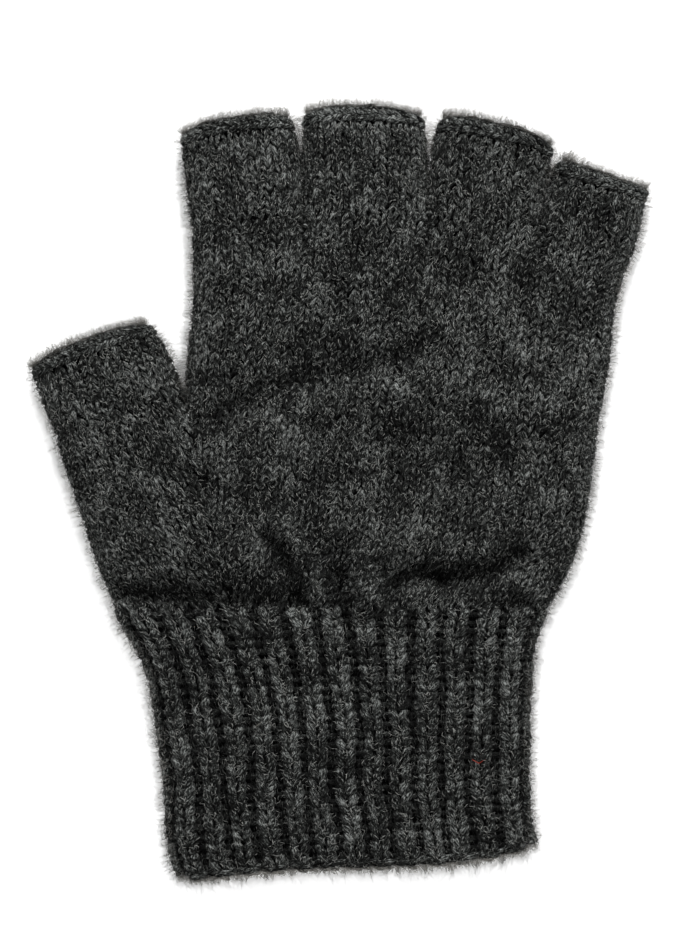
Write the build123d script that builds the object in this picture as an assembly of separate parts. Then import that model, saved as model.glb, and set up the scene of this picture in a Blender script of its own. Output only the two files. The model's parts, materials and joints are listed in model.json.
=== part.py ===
"""A knitted fingerless glove, lying flat with its palm up.

The glove is a set of flattened knitted tubes: a ribbed cuff, a hand with a thumb gusset, and five short
stalls, each ending in a cast-off edge. Every tube is hollow and open at both ends, so that a hand goes
in at the cuff and the fingers come out past the edges.

The drawing frame has the middle of the wrist at x 0 and y 0, the fingers towards +Y, the thumb towards
-X, and the surface that the glove lies on at z 0. The finished glove is moved so that the origin is the
middle of the underside of its bounding box.
"""

from build123d import *
import os
from math import atan2, cos, degrees, hypot, radians, sin

# ---- Fabric, in millimetres ------------------------------------------------------------------------
LOFT = 11.0  # height of the relaxed tube: two layers of fabric and the hollow between them
WALL = 2.3  # thickness of the plain knitted fabric
RIB_WALL = 2.8  # thickness of the ribbed fabric
EDGE_WALL = 2.9  # thickness of a cast-off or cast-on edge
SIDE_FLAT = 0.4  # height of upright side that the rounding leaves on a tube

# ---- Hand ------------------------------------------------------------------------------------------
WRIST_WIDTH = 106.0
KNUCKLE_LEFT = (-34.4, 93.6)  # start of the knuckle line, on the thumb side
HEEL_OUT, HEEL_UP = 9.5, 22.0  # heel of the hand, from the wrist's outer end
SIDE_OUT, SIDE_UP = 13.0, 52.0  # outer side of the palm, from the wrist's outer end
THUMB_CROTCH = (-36.1, 53.0)
GUSSET_FOOT = 29.0  # width of the thumb gusset along the wrist

# ---- Stalls: width at the base, width at the tip, length with the edge, lean towards the thumb -----
FINGERS = {
    "index": (27.8, 27.2, 24.8, 6.5),
    "middle": (30.4, 29.0, 25.6, 1.0),
    "ring": (28.0, 28.2, 22.4, -8.0),
    "little": (24.0, 22.8, 17.4, -14.0),
}
THUMB = (33.0, 30.8, 19.4, 22.3)
EDGE_HEIGHT = 4.0  # height of a stall's cast-off edge
STALL_GAP = 0.6  # free space between the bases of two neighbouring stalls
JOINT_GAP = 0.3  # free space between the hand and what bends on it

# ---- Crotches: where the two layers of the hand are knitted together between two stalls ------------
WEB_WIDTH = 5.2
WEB_LENGTH = 6.0
THUMB_WEB_WIDTH = 3.4
THUMB_WEB_LENGTH = 9.0

# ---- Cuff ------------------------------------------------------------------------------------------
CUFF_LENGTH = 62.5  # along its middle, with the edge
CUFF_MOUTH = 87.0  # width at the cast-on edge
CUFF_SHIFT = 6.5  # how far the mouth's middle lies off the wrist's middle
CUFF_TILT = 5.3  # turn of the mouth from the wrist line, degrees
NECK_WIDTH = 93.0
NECK_SHIFT = 1.6
NECK_DOWN = 17.0
CUFF_EDGE_HEIGHT = 3.4

# ---- Darned yarn ends ------------------------------------------------------------------------------
YARN = 1.4  # diameter
YARN_CLEAR = 0.1  # free space between a yarn end and the fabric round it
YARN_INSET = 2.0  # what a stall is longer than its yarn end, at each end
CUFF_YARN_LENGTH = 20.0
CUFF_YARN_IN = 1.0  # free space beside the cuff's yarn end, for the bow of the cuff's side

RUN_OUT = 4.0  # how far a hollow's cutter runs past an open end
FAR = 400.0  # size of the blocks that trim a tube


def turned(point, angle):
    """The point turned about the origin by angle, in degrees."""
    c, s = cos(radians(angle)), sin(radians(angle))
    return (point[0] * c - point[1] * s, point[0] * s + point[1] * c)


def plus(a, b):
    return (a[0] + b[0], a[1] + b[1])


def aim(a, b):
    """The unit direction from a to b."""
    length = hypot(b[0] - a[0], b[1] - a[1])
    return ((b[0] - a[0]) / length, (b[1] - a[1]) / length)


def past(a, b, distance):
    """The point that distance past b, on the line from a."""
    d = aim(a, b)
    return (b[0] + d[0] * distance, b[1] + d[1] * distance)


def moved_right(points, distance):
    """A side's points, each moved to the right of the way they run, or left if distance is negative."""
    found = []
    for i, p in enumerate(points):
        d = aim(points[max(i - 1, 0)], points[min(i + 1, len(points) - 1)])
        found.append((p[0] + d[1] * distance, p[1] - d[0] * distance))
    return found


def run_out(points):
    """A side's points, with its first and last moved on past the open ends."""
    return [past(points[1], points[0], RUN_OUT), *points[1:-1], past(points[-2], points[-1], RUN_OUT)]


def side_curve(points):
    return Line(*points) if len(points) == 2 else Spline(*points)


# ---- Points that several pieces share --------------------------------------------------------------
def knuckle_line():
    """The corners of the hand's far end, one at each side of each finger, from the thumb side."""
    corners = [KNUCKLE_LEFT]
    for base, _, _, lean in FINGERS.values():
        corners.append(plus(corners[-1], turned((base, 0), lean)))
    return corners


KNUCKLES = knuckle_line()
WRIST_LEFT = (-WRIST_WIDTH / 2, 0)
WRIST_RIGHT = (WRIST_WIDTH / 2, 0)
SEAM_FOOT = (WRIST_LEFT[0] + GUSSET_FOOT, 0)
THUMB_OUTER = plus(THUMB_CROTCH, turned((-THUMB[0], 0), THUMB[3]))
HEEL = (WRIST_RIGHT[0] + HEEL_OUT, HEEL_UP)
SIDE = (WRIST_RIGHT[0] + SIDE_OUT, SIDE_UP)
MOUTH = (CUFF_SHIFT, -CUFF_LENGTH)


# ---- Trimming blocks: each holds all that lies on one side of a line in the plan -------------------
def block_over(point, lean):
    """All that lies above a line through point, leant by that angle."""
    return Pos(*point, 0) * Rot(0, 0, lean) * Pos(0, FAR / 2, 0) * Box(FAR, FAR, FAR)


def block_under(point, lean):
    return block_over(point, lean + 180)


def thumb_side_of_seam():
    """All that lies on the thumb's side of the seam between the hand and the gusset."""
    up = aim(SEAM_FOOT, THUMB_CROTCH)
    return block_over(SEAM_FOOT, degrees(atan2(up[1], up[0])))


# ---- Tubes -----------------------------------------------------------------------------------------
def slab(left, right, bottom, top, corners=()):
    """A slab between two side curves, with rounded sides. corners are those of its far end, if any."""
    sides = [side_curve(left), side_curve(right)]
    ends = [Line(left[0], right[0]), Polyline(left[-1], *corners, right[-1])]
    solid = Pos(0, 0, bottom) * extrude(make_face([*sides, *ends]), amount=top - bottom, dir=(0, 0, 1))
    middles = [side @ 0.5 for side in sides]
    rims = [
        edge
        for edge in solid.edges()
        if any(hypot((edge @ 0.5).X - m.X, (edge @ 0.5).Y - m.Y) < 0.01 for m in middles)
    ]
    return fillet(rims, (top - bottom - SIDE_FLAT) / 2)


def tube(left, right, wall, corners=()):
    """A flattened tube between two side curves, open at both ends."""
    outside = slab(left, right, 0, LOFT, corners)
    inner_left = run_out(moved_right(left, wall))
    inner_right = run_out(moved_right(right, -wall))
    inside = slab(inner_left, inner_right, wall, LOFT - wall, [plus(c, (0, RUN_OUT)) for c in corners])
    return outside - inside


# ---- The hand --------------------------------------------------------------------------------------
def hand_tube():
    """The hand, from the wrist to the knuckle line, without the thumb gusset."""
    up = aim(THUMB_CROTCH, KNUCKLES[0])
    foot = (THUMB_CROTCH[0] - THUMB_CROTCH[1] * up[0] / up[1], 0)
    right = [WRIST_RIGHT, HEEL, SIDE, KNUCKLES[-1]]
    return tube([foot, KNUCKLES[0]], right, WALL, KNUCKLES[1:-1]) - thumb_side_of_seam()


def thumb_gusset():
    """The wedge between wrist and thumb, open towards the wrist, the thumb and the hand."""
    past_seam = moved_right([SEAM_FOOT, THUMB_CROTCH], 2 * LOFT)
    wide = tube(run_out([WRIST_LEFT, THUMB_OUTER]), past_seam, WALL)
    wedge = wide & thumb_side_of_seam() & block_over(WRIST_LEFT, 0)
    return wedge & block_under(THUMB_CROTCH, THUMB[3])


def web(outline):
    """A crotch: an upright post between the two layers of the hand."""
    post = extrude(make_face(Polyline(*outline, close=True)), amount=LOFT - 2 * WALL, dir=(0, 0, 1))
    return Pos(0, 0, WALL) * post


def finger_webs():
    """The kite-shaped crotches between neighbouring fingers, by node name."""
    names, leans = list(FINGERS), [size[3] for size in FINGERS.values()]
    found = {}
    for i, corner in enumerate(KNUCKLES[1:-1]):
        thumb_side = plus(corner, turned((-WEB_WIDTH / 2, 0), leans[i]))
        foot = plus(corner, turned((0, -WEB_LENGTH), (leans[i] + leans[i + 1]) / 2))
        far_side = plus(corner, turned((WEB_WIDTH / 2, 0), leans[i + 1]))
        found[f"{names[i]}_{names[i + 1]}_web"] = web([corner, thumb_side, foot, far_side])
    return found


def thumb_web():
    """The thumb's crotch: a wedge in the corner between the thumb's base and the seam."""
    along_base = past(THUMB_OUTER, THUMB_CROTCH, -THUMB_WEB_WIDTH)
    down_seam = past(SEAM_FOOT, THUMB_CROTCH, -THUMB_WEB_LENGTH)
    return web([THUMB_CROTCH, along_base, down_seam])


# ---- The stalls ------------------------------------------------------------------------------------
def stall_foots():
    """The middle of each stall's base, by name."""
    foots = {"thumb": ((THUMB_OUTER[0] + THUMB_CROTCH[0]) / 2, (THUMB_OUTER[1] + THUMB_CROTCH[1]) / 2)}
    for i, name in enumerate(FINGERS):
        a, b = KNUCKLES[i], KNUCKLES[i + 1]
        foots[name] = ((a[0] + b[0]) / 2, (a[1] + b[1]) / 2)
    return foots


def stall_tube(size, wall):
    """A stall with its edge, in its own frame: base on y 0, tip towards +Y."""
    half, end, length = (size[0] - STALL_GAP) / 2, (size[1] - STALL_GAP) / 2, size[2]
    return tube([(-half, 0), (-end, length)], [(half, 0), (end, length)], wall)


def yarn(length):
    """A darned yarn end along Y, resting in the hollow of a tube with its side at x 0."""
    off = YARN / 2 + YARN_CLEAR
    return Pos(off, 0, off) * Rot(90, 0, 0) * Cylinder(YARN / 2, length)


def stall_pieces(name, size, foot):
    """A stall, its edge and its yarn end, with the middle of the stall's base at foot."""
    base, tip, length, lean = size
    place = Pos(*foot, 0) * Rot(0, 0, lean)
    body_end = length - EDGE_HEIGHT
    body, edge = block_over((0, JOINT_GAP), 0) & block_under((0, body_end), 0), block_over((0, body_end), 0)
    # The hollow's lower corner is rounded, so the yarn end lies where that corner has come down to flat.
    corner = (LOFT - 2 * WALL - SIDE_FLAT) / 2
    thread = body_end - JOINT_GAP - 2 * YARN_INSET
    at = Pos((STALL_GAP - min(base, tip)) / 2 + WALL + corner, (body_end + JOINT_GAP) / 2, WALL)
    return {
        f"{name}_stall": place * (stall_tube(size, WALL) & body),
        f"{name}_edge": place * (stall_tube(size, EDGE_WALL) & edge),
        f"{name}_yarn_end": place * at * yarn(thread),
    }


# ---- The cuff --------------------------------------------------------------------------------------
def cuff_sides():
    """The cuff's thumb side and its other side, each from the mouth to the wrist."""
    ends = [plus(MOUTH, turned((side * CUFF_MOUTH / 2, 0), CUFF_TILT)) for side in (-1, 1)]
    necks = [(NECK_SHIFT + side * NECK_WIDTH / 2, -NECK_DOWN) for side in (-1, 1)]
    return [ends[0], necks[0], WRIST_LEFT], [ends[1], necks[1], WRIST_RIGHT]


def cuff_yarn_end():
    """The cuff's yarn end, which lies along the inside of its thumb side, just above the edge."""
    side = side_curve(cuff_sides()[0])
    start = CUFF_EDGE_HEIGHT + YARN_INSET
    low, high = side @ (start / side.length), side @ ((start + CUFF_YARN_LENGTH) / side.length)
    lean = degrees(atan2(high.Y - low.Y, high.X - low.X)) - 90
    corner = (LOFT - 2 * RIB_WALL - SIDE_FLAT) / 2
    place = Pos((low.X + high.X) / 2, (low.Y + high.Y) / 2, RIB_WALL) * Rot(0, 0, lean)
    return place * Pos(RIB_WALL + corner + CUFF_YARN_IN, 0, 0) * yarn(CUFF_YARN_LENGTH)


def cuff_pieces():
    """The ribbed cuff, its cast-on edge and its yarn end."""
    edge_top = plus(MOUTH, turned((0, CUFF_EDGE_HEIGHT), CUFF_TILT))
    above_edge, below_wrist = block_over(edge_top, CUFF_TILT), block_under((0, -JOINT_GAP), 0)
    left, right = cuff_sides()
    return {
        "cuff_rib": tube(left, right, RIB_WALL) & above_edge & below_wrist,
        "cuff_edge": tube(left, right, EDGE_WALL) & block_under(edge_top, CUFF_TILT),
        "cuff_yarn_end": cuff_yarn_end(),
    }


def glove():
    """Every piece, by node name, in the drawing frame."""
    pieces = {"hand_tube": hand_tube(), "thumb_gusset": thumb_gusset(), "thumb_web": thumb_web()}
    pieces |= finger_webs() | cuff_pieces()
    foots = stall_foots()
    for name, size in {"thumb": THUMB, **FINGERS}.items():
        pieces |= stall_pieces(name, size, foots[name])
    return pieces


def middle_of(pieces):
    """The middle of the underside of the pieces' bounding box, as x and y."""
    boxes = [piece.bounding_box() for piece in pieces]
    left, right = min(box.min.X for box in boxes), max(box.max.X for box in boxes)
    near, far = min(box.min.Y for box in boxes), max(box.max.Y for box in boxes)
    return ((left + right) / 2, (near + far) / 2)


PIECES = glove()
ORIGIN = middle_of(PIECES.values())

os.makedirs("parts", exist_ok=True)
for name, piece in PIECES.items():
    export_step(Pos(-ORIGIN[0], -ORIGIN[1], 0) * piece, f"parts/{name}.step")
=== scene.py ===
# %% [markdown]
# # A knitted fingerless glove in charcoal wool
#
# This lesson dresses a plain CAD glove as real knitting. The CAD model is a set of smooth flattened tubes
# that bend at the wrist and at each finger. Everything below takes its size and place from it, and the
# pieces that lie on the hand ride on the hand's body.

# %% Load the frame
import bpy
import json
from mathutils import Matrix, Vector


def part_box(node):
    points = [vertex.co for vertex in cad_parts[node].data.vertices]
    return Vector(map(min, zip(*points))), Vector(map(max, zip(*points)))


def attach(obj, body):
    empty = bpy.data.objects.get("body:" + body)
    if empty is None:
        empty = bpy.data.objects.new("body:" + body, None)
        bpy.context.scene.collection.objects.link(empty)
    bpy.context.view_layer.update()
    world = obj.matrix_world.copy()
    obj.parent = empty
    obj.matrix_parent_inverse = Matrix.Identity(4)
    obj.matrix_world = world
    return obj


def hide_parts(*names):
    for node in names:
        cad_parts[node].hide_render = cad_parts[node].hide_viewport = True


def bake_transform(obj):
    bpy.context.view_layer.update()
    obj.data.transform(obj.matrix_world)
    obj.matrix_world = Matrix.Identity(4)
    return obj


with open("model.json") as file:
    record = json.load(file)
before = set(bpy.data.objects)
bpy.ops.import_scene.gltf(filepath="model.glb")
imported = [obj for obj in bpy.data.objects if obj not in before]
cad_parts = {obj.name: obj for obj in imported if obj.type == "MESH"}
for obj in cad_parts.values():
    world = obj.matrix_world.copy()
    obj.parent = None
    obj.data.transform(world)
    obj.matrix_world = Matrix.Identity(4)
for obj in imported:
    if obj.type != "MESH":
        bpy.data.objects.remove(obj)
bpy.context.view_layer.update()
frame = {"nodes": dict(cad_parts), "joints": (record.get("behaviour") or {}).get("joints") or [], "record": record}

# %% Tools
import json
import bpy
import numpy as np
from math import pi
from mathutils import Vector, noise

MM = 0.001  # the frame is in metres, and knitting is thought of in millimetres
random = np.random.default_rng(11)

# %% [markdown]
# ## Landmarks
#
# A glove's plan is drawn through a few landmarks: the wrist, the corners between the fingers, the thumb's
# crotch. They are worked out from the CAD model's hinges and mounts, so they can't drift from it: two
# neighbouring fingers' base lines cross at the corner between them.

# %% Hinges and corners
joints = {joint["child"]: joint for joint in frame["joints"]}
mounts = {mount["name"]: mount for mount in frame["record"]["mounts"]}
FINGERS = ["index", "middle", "ring", "little"]
STALLS = ["thumb", *FINGERS]
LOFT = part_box("hand_tube")[1].z / MM


def flat(vector):
    """A point of the frame in plan, in millimetres."""
    return np.array(vector[:2]) / MM


def base_line(body):
    """The middle of a hinge in plan, and the direction of its axis."""
    return flat(joints[body]["pos_m"]), np.array(joints[body]["axis"][:2])


def crossing(body_a, body_b):
    """The point where the base lines of two bodies cross."""
    (a, a_way), (b, b_way) = base_line(body_a), base_line(body_b)
    return a + a_way * np.linalg.solve(np.column_stack([a_way, -b_way]), b - a)[0]


corners = [crossing(a, b) for a, b in zip(FINGERS, FINGERS[1:])]
first = 2 * base_line("index")[0] - corners[0]
last = 2 * base_line("little")[0] - corners[-1]
knuckles = np.array([first, *corners, last])
wrist = base_line("cuff")[0]


# %% [markdown]
# A node's edges are cut by lines across it, and the outermost points of each cut are its two sides there.

# %% Read the sides of the CAD nodes
def plan_edges(names):
    """Every edge of the named nodes, as pairs of points in plan."""
    found = []
    for name in names:
        mesh = frame["nodes"][name].data
        points = np.empty(3 * len(mesh.vertices))
        mesh.vertices.foreach_get("co", points)
        ends = np.empty(2 * len(mesh.edges), dtype=int)
        mesh.edges.foreach_get("vertices", ends)
        found.append(points.reshape(-1, 3)[ends.reshape(-1, 2), :2] / MM)
    return np.concatenate(found)


def sides(names, start, up, heights):
    """The nodes' leftmost and rightmost points on lines at those heights over start, looking along up."""
    edges = plan_edges(names) - start
    right = np.array([up[1], -up[0]])
    height, side = edges @ up, edges @ right
    found = []
    for h in heights:
        cut = (height.min(1) <= h) & (height.max(1) >= h) & (np.ptp(height, axis=1) > 1e-6)
        share = (h - height[cut, 0]) / (height[cut, 1] - height[cut, 0])
        across = side[cut, 0] + share * (side[cut, 1] - side[cut, 0])
        found.append([start + up * h + right * across.min(), start + up * h + right * across.max()])
    return np.array(found)[:, 0], np.array(found)[:, 1]


UP = np.array([0.0, 1.0])
seam_foot = sides(["hand_tube"], wrist, UP, [0.3])[0][0]
thumb_foot, thumb_way = base_line("thumb")
gusset = plan_edges(["thumb_gusset"]).reshape(-1, 2)
crotch = thumb_foot + thumb_way * ((gusset - thumb_foot) @ thumb_way).max()

# %% [markdown]
# ## The tubes
#
# Each part of the glove is a tube that lies flat: two layers with rounded sides. It gets a grid of points,
# and a function that turns "this far round, this far up, this far out" into a point in space. Knitting is
# then made flat, where it is simple, and wrapped on the tube.

# %% Size of the grid
ROUND, ALONG = 480, 96  # grid points round a ring and along a tube
SKIN = 0.6  # from the CAD surface in to the middle of the yarn
RIM = 6.6  # how far in from its side a tube is rounded
HALF = LOFT / 2 - SKIN
ROUNDING = 13  # points on each quarter of the rounding


def ring(width):
    """A ring of that width, from its left side over the top and back: how far across, how high (-1 to 1)."""
    turn = np.linspace(0, pi / 2, ROUNDING)
    across = [RIM * (1 - np.cos(turn)), width - RIM + RIM * np.sin(turn)]
    across += [width - RIM + RIM * np.cos(turn), RIM * (1 - np.sin(turn))]
    high = [np.sin(turn), np.cos(turn), -np.sin(turn), -np.cos(turn)]
    across, high = np.concatenate(across), np.concatenate(high)
    steps = np.hypot(np.diff(across), HALF * np.diff(high))
    length = np.concatenate([[0], np.cumsum(steps)])
    even = np.linspace(0, length[-1], ROUND + 1)
    return np.interp(even, length, across), np.interp(even, length, high)


# %% [markdown]
# ## Folds
#
# Knitting lies in soft folds where the loose hand is gathered into the tight cuff. A simulation would fold
# it elsewhere, so the folds are laid one by one: lines in plan along which the top layer sinks or rises. Their
# places are shares of the wrist's width and of the hand's length, so they follow the CAD model. The first
# seven are the gathers at the wrist, the next six cross the palm, and the rest are slight creases and the
# swells between gathers.

# %% Lay the folds
wrist_left = sides(["thumb_gusset"], wrist, UP, [0.3])[0][0]
HAND_WIDTH = 2 * (wrist[0] - wrist_left[0])
HAND_LENGTH = knuckles[2][1] - wrist[1]
LOWEST, HIGHEST = -6.2, 3.2  # how far a fold may sink, and rise
# Half-width and depth in millimetres, and the line's points as shares of the hand's width and length.
FOLDS = [
    (3.4, -3.6, [(0.03, 0.03), (0.12, 0.03), (0.25, 0.012), (0.43, 0.012)]),
    (3.4, -3.9, [(0.36, 0.175), (0.385, 0.135), (0.412, 0.07), (0.42, 0.03)]),
    (4.4, -3.4, [(0.517, 0.135), (0.522, -0.02)]),
    (3.2, -3.0, [(0.52, 0.07), (0.522, -0.03)]),
    (2.8, -3.8, [(0.635, 0.02), (0.65, 0.06), (0.70, 0.085), (0.74, 0.075)]),
    (3.6, -4.5, [(0.775, 0.07), (0.865, 0.08), (0.91, 0.11), (0.935, 0.135)]),
    (2.6, -3.0, [(0.88, 0.005), (0.95, 0.008)]),
    (4.2, -2.9, [(0.685, 0.64), (0.60, 0.605), (0.54, 0.585), (0.45, 0.57), (0.36, 0.54), (0.28, 0.50)]),
    (5.0, -1.2, [(0.28, 0.50), (0.17, 0.46)]),
    (6.0, 1.4, [(0.70, 0.555), (0.65, 0.52), (0.49, 0.50), (0.39, 0.49), (0.345, 0.43), (0.31, 0.33)]),
    (7.0, -2.2, [(0.64, 0.40), (0.71, 0.365), (0.79, 0.33)]),
    (6.0, -1.0, [(0.79, 0.33), (0.89, 0.35), (0.99, 0.34)]),
    (5.0, 0.9, [(0.76, 0.53), (0.86, 0.54), (0.98, 0.52)]),
    (2.6, -1.0, [(0.23, 0.79), (0.40, 0.80)]),
    (5.0, -1.0, [(0.73, 0.845), (0.84, 0.805), (0.96, 0.79), (1.06, 0.75)]),
    (5.0, 1.6, [(0.03, 0.16), (0.16, 0.13), (0.29, 0.115)]),
    (5.0, -1.6, [(0.06, 0.37), (0.16, 0.33), (0.26, 0.30)]),
    (2.4, 3.4, [(0.39, 0.20), (0.43, 0.13), (0.46, 0.03)]),
    (2.4, 3.6, [(0.61, 0.16), (0.58, 0.12), (0.585, 0.02)]),
    (4.0, 1.4, [(0.62, 0.17), (0.72, 0.17)]),
]


def distance_to(points, line):
    """How far each point lies from a line of straight runs."""
    nearest = np.full(points.shape[:-1], np.inf)
    for a, b in zip(line, line[1:]):
        way = b - a
        share = np.clip((points - a) @ way / (way @ way), 0, 1)
        gap = points - a - share[..., None] * way
        nearest = np.minimum(nearest, np.hypot(gap[..., 0], gap[..., 1]))
    return nearest


def fold_height(points):
    """How much the top layer stands above or below flat at each point in plan."""
    height = np.zeros(points.shape[:-1])
    for half_width, depth, line in FOLDS:
        line = wrist_left + np.array(line) * [HAND_WIDTH, HAND_LENGTH]
        height += depth * np.exp(-((distance_to(points, line) / half_width) ** 2))
    return np.clip(height, LOWEST, HIGHEST)


# %% [markdown]
# Between two fingers the top and the bottom layer meet. Below the corner the groove runs on into the hand
# and fades, because the knitting there is still drawn together.

# %% Grooves below the corners
GROOVE = 10.0  # how far down the hand a groove fades


def pinch(points):
    """What share of its thickness the hand keeps at each point in plan, from 0 at a corner to 1."""
    kept = np.ones(points.shape[:-1])
    for corner in knuckles[1:-1]:
        off, down = points[..., 0] - corner[0], np.maximum(corner[1] - points[..., 1], 0)
        away = np.clip(np.abs(off) / RIM, 0, 1)
        depth = 1 - np.sqrt(1 - (1 - away) ** 2)
        kept = np.minimum(kept, 1 - depth * np.exp(-((down / GROOVE) ** 2)))
    return kept


# %% Make a tube's grid
CREST, CREST_MIDDLE = 0.8, 0.65  # how round a rib's crest is, and what of the wave lies below the tube
WANDER, WANDER_LONG = 0.9, 13.0  # how far a rib strays sideways, and over what length


def make_tube(left, right, bow=None, ribs=0, rib_depth=0.0, pinched=False):
    """A tube through matching points of its two sides, with folds.

    bow(how far across, how far up) says how far a point is moved up, and ribs is their number round the tube.
    """
    width = np.hypot(*(right - left).T)
    points = np.empty((len(left), ROUND + 1, 3))
    for row, (a, b, wide) in enumerate(zip(left, right, width)):
        across, high = ring(wide - 2 * SKIN)
        share = (SKIN + across) / wide
        points[row, :, :2] = a + (b - a) * share[:, None]
        if bow is not None:
            points[row, :, 1] += bow(share, row / (len(left) - 1))
        points[row, :, 2] = HALF * high
    plan, high = points[..., :2], points[..., 2] / HALF
    if pinched:
        points[..., 2] *= pinch(plan)
    top = np.clip(high, 0, 1) ** 2 * (3 - 2 * np.clip(high, 0, 1))
    points[..., 2] += LOFT / 2 + top * fold_height(plan)
    tube = {"points": points, "out": outwards(points)}
    tube["girth"] = np.linalg.norm(np.diff(points, axis=1), axis=2).sum(1)
    if ribs:
        turn = np.arange(ROUND + 1) / ROUND * ribs * pi
        wave = np.abs(np.cos(turn)) ** CREST - CREST_MIDDLE
        points += tube["out"] * (rib_depth * wave)[None, :, None]
        spots = points.reshape(-1, 3) / WANDER_LONG
        drift = np.array([noise.noise(Vector(spot)) for spot in spots]).reshape(points.shape[:2])
        points[..., 0] += WANDER * drift
        tube["out"] = outwards(points)
    tube["length"] = np.linalg.norm(np.diff(points, axis=0), axis=2).sum(0).mean()
    return tube


def outwards(points):
    """The direction straight out of the tube at each point of its grid."""
    wrapped = np.concatenate([points[:, -2:-1], points, points[:, 1:2]], axis=1)
    out = np.cross(np.gradient(wrapped, axis=1)[:, 1:-1], np.gradient(points, axis=0))
    return out / np.linalg.norm(out, axis=2, keepdims=True)


def wrap(tube, turn, rise, out):
    """Points in space for how far round, how far along, both as shares, and how far out in millimetres."""
    i, j = (turn % 1) * ROUND, rise * (len(tube["points"]) - 1)
    i0, j0 = np.floor(i).astype(int), np.clip(np.floor(j), 0, len(tube["points"]) - 2).astype(int)
    fi, fj = (i - i0)[..., None], (j - j0)[..., None]
    found = []
    for grid in (tube["points"], tube["out"]):
        low = grid[j0, i0] * (1 - fi) + grid[j0, i0 + 1] * fi
        high = grid[j0 + 1, i0] * (1 - fi) + grid[j0 + 1, i0 + 1] * fi
        found.append(low * (1 - fj) + high * fj)
    return found[0] + found[1] * np.asarray(out)[..., None]


# %% [markdown]
# Loose knitting bellies out by one to three millimetres past the straight sides of its pattern: at the
# little finger's side of the hand, along the gusset, on each stall, and low on the cuff. Above the thumb
# the hand is drawn in instead.

# %% Ease of the loose sides, in millimetres
BELLY, BELLY_AT, BELLY_LONG = 1.6, 0.63, 0.13  # how far, and where and how long as shares of the hand
DRAWN, DRAWN_AT, DRAWN_LONG = 1.1, 0.78, 0.13  # the other side is drawn in above the thumb
GUSSET_EASE = 0.8
STALL_EASE = {  # of its left and right side
    "thumb": (0.9, 1.7),
    "index": (0.7, 1.9),
    "middle": (1.1, 1.3),
    "ring": (1.9, 0.8),
    "little": (1.9, 0.5),
}
LONGER = {  # how much longer a stall's left and right side are than in the CAD model
    "thumb": (1.7, 0.7),
    "index": (-0.6, 0.5),
    "middle": (0.6, -0.9),
    "ring": (2.2, -0.7),
    "little": (-0.1, -2.0),
}
CUFF_EASE = [[(0, 0.2), (4, 1.7), (12, 3.0), (19, 3.1), (30, 2.0), (41, 0.8), (50, 0)],
             [(0, 0.2), (10, 1.2), (26, 2.0), (41, 1.2), (50, 0)]]  # height over the mouth, and how far
CUFF_DROP = 0.3  # how much lower the mouth hangs

# %% [markdown]
# The hand's left side runs on inside the gusset, and the gusset's right side inside the hand. Each is
# knitted only up to the seam between them, so the two tubes join there without a step.

# %% The tubes of the glove
steps = np.linspace(0, 1, ALONG + 1)[:, None]
ACROSS = np.array([1.0, 0.0])


def straight(a, b):
    return a + (b - a) * steps


def hand_bow(share, rise):
    """How far the knuckle line arches above a straight line between its ends, fading down the hand."""
    share_at = (knuckles[:, 0] - first[0]) / (last[0] - first[0])
    arch = knuckles[:, 1] - (first[1] + (last[1] - first[1]) * share_at)
    return np.interp(share, share_at, arch) * rise**2


def cad_side(names, side, start, height):
    """The left (0) or right (1) side of some nodes, from start up to that height."""
    inside = np.clip(steps[:, 0] * height, 0.6, height - 0.4)
    found = sides(names, start, UP, inside)[side]
    found[:, 1] = start[1] + steps[:, 0] * height
    return found


def hand_tube():
    right = cad_side(["hand_tube"], 1, wrist, knuckles[-1][1] - wrist[1])
    belly = np.exp(-(((right[:, 1] - wrist[1]) / HAND_LENGTH - BELLY_AT) / BELLY_LONG) ** 2)
    right += BELLY * belly[:, None] * ACROSS
    way = (knuckles[0] - crotch) / (knuckles[0] - crotch)[1]
    foot = crotch + way * (wrist[1] - crotch[1])
    left = straight(foot, knuckles[0])
    drawn = np.exp(-(((left[:, 1] - wrist[1]) / HAND_LENGTH - DRAWN_AT) / DRAWN_LONG) ** 2)
    return make_tube(left + DRAWN * drawn[:, None] * ACROSS, right, bow=hand_bow, pinched=True)


def gusset_tube():
    outer = 2 * thumb_foot - crotch
    beyond = seam_foot + [0.3 * (crotch[1] - seam_foot[1]), 0]
    eased = straight(wrist_left, outer) - GUSSET_EASE * np.minimum(1, 4 * steps) * ACROSS
    return make_tube(eased, straight(beyond, crotch))


# A cast-off edge draws its two corners in, so that the tip is arched. The little finger's is straight.
TIP_BOW = {"thumb": 2.2, "index": 2.2, "middle": 2.2, "ring": 2.2, "little": 0.0}


def stall_tube(body):
    foot, way = base_line(body)
    up = np.array([-way[1], way[0]])
    length = (flat(mounts[f"{body}_mouth"]["pos_m"]) - foot) @ up
    left, right = sides([f"{body}_stall", f"{body}_edge"], foot, up, [0.4 * length, 0.8 * length])
    ends = [[side[0] - (side[1] - side[0]), side[1] + (side[1] - side[0]) / 2] for side in (left, right)]
    ease = way * (0.55 + 0.9 * steps) * (1 - steps**4)
    left, right = (straight(*end) + up * more * steps**2 for end, more in zip(ends, LONGER[body]))

    def tip_bow(share, rise):
        """How far the tip arches over a straight line."""
        return TIP_BOW[body] * (0.2 - np.abs(2 * share - 1) ** 3) * rise**2

    return make_tube(left - STALL_EASE[body][0] * ease, right + STALL_EASE[body][1] * ease, bow=tip_bow)


RIBS = 28
RIB_DEPTH = 2.0
CORNER = 2.2  # how far the corners of the cuff's mouth are drawn up
SAG = 1.0  # how far one half of the mouth rises, and the other hangs


def mouth_bow(share, rise):
    """The cast-on edge is drawn up at its two corners, which rounds them, and sags in one slow wave."""
    corners = CORNER * np.abs(2 * share - 1) ** 12 * (1 - rise) ** 12
    return corners + SAG * np.sin(2 * pi * share) * (1 - rise) ** 6


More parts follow.
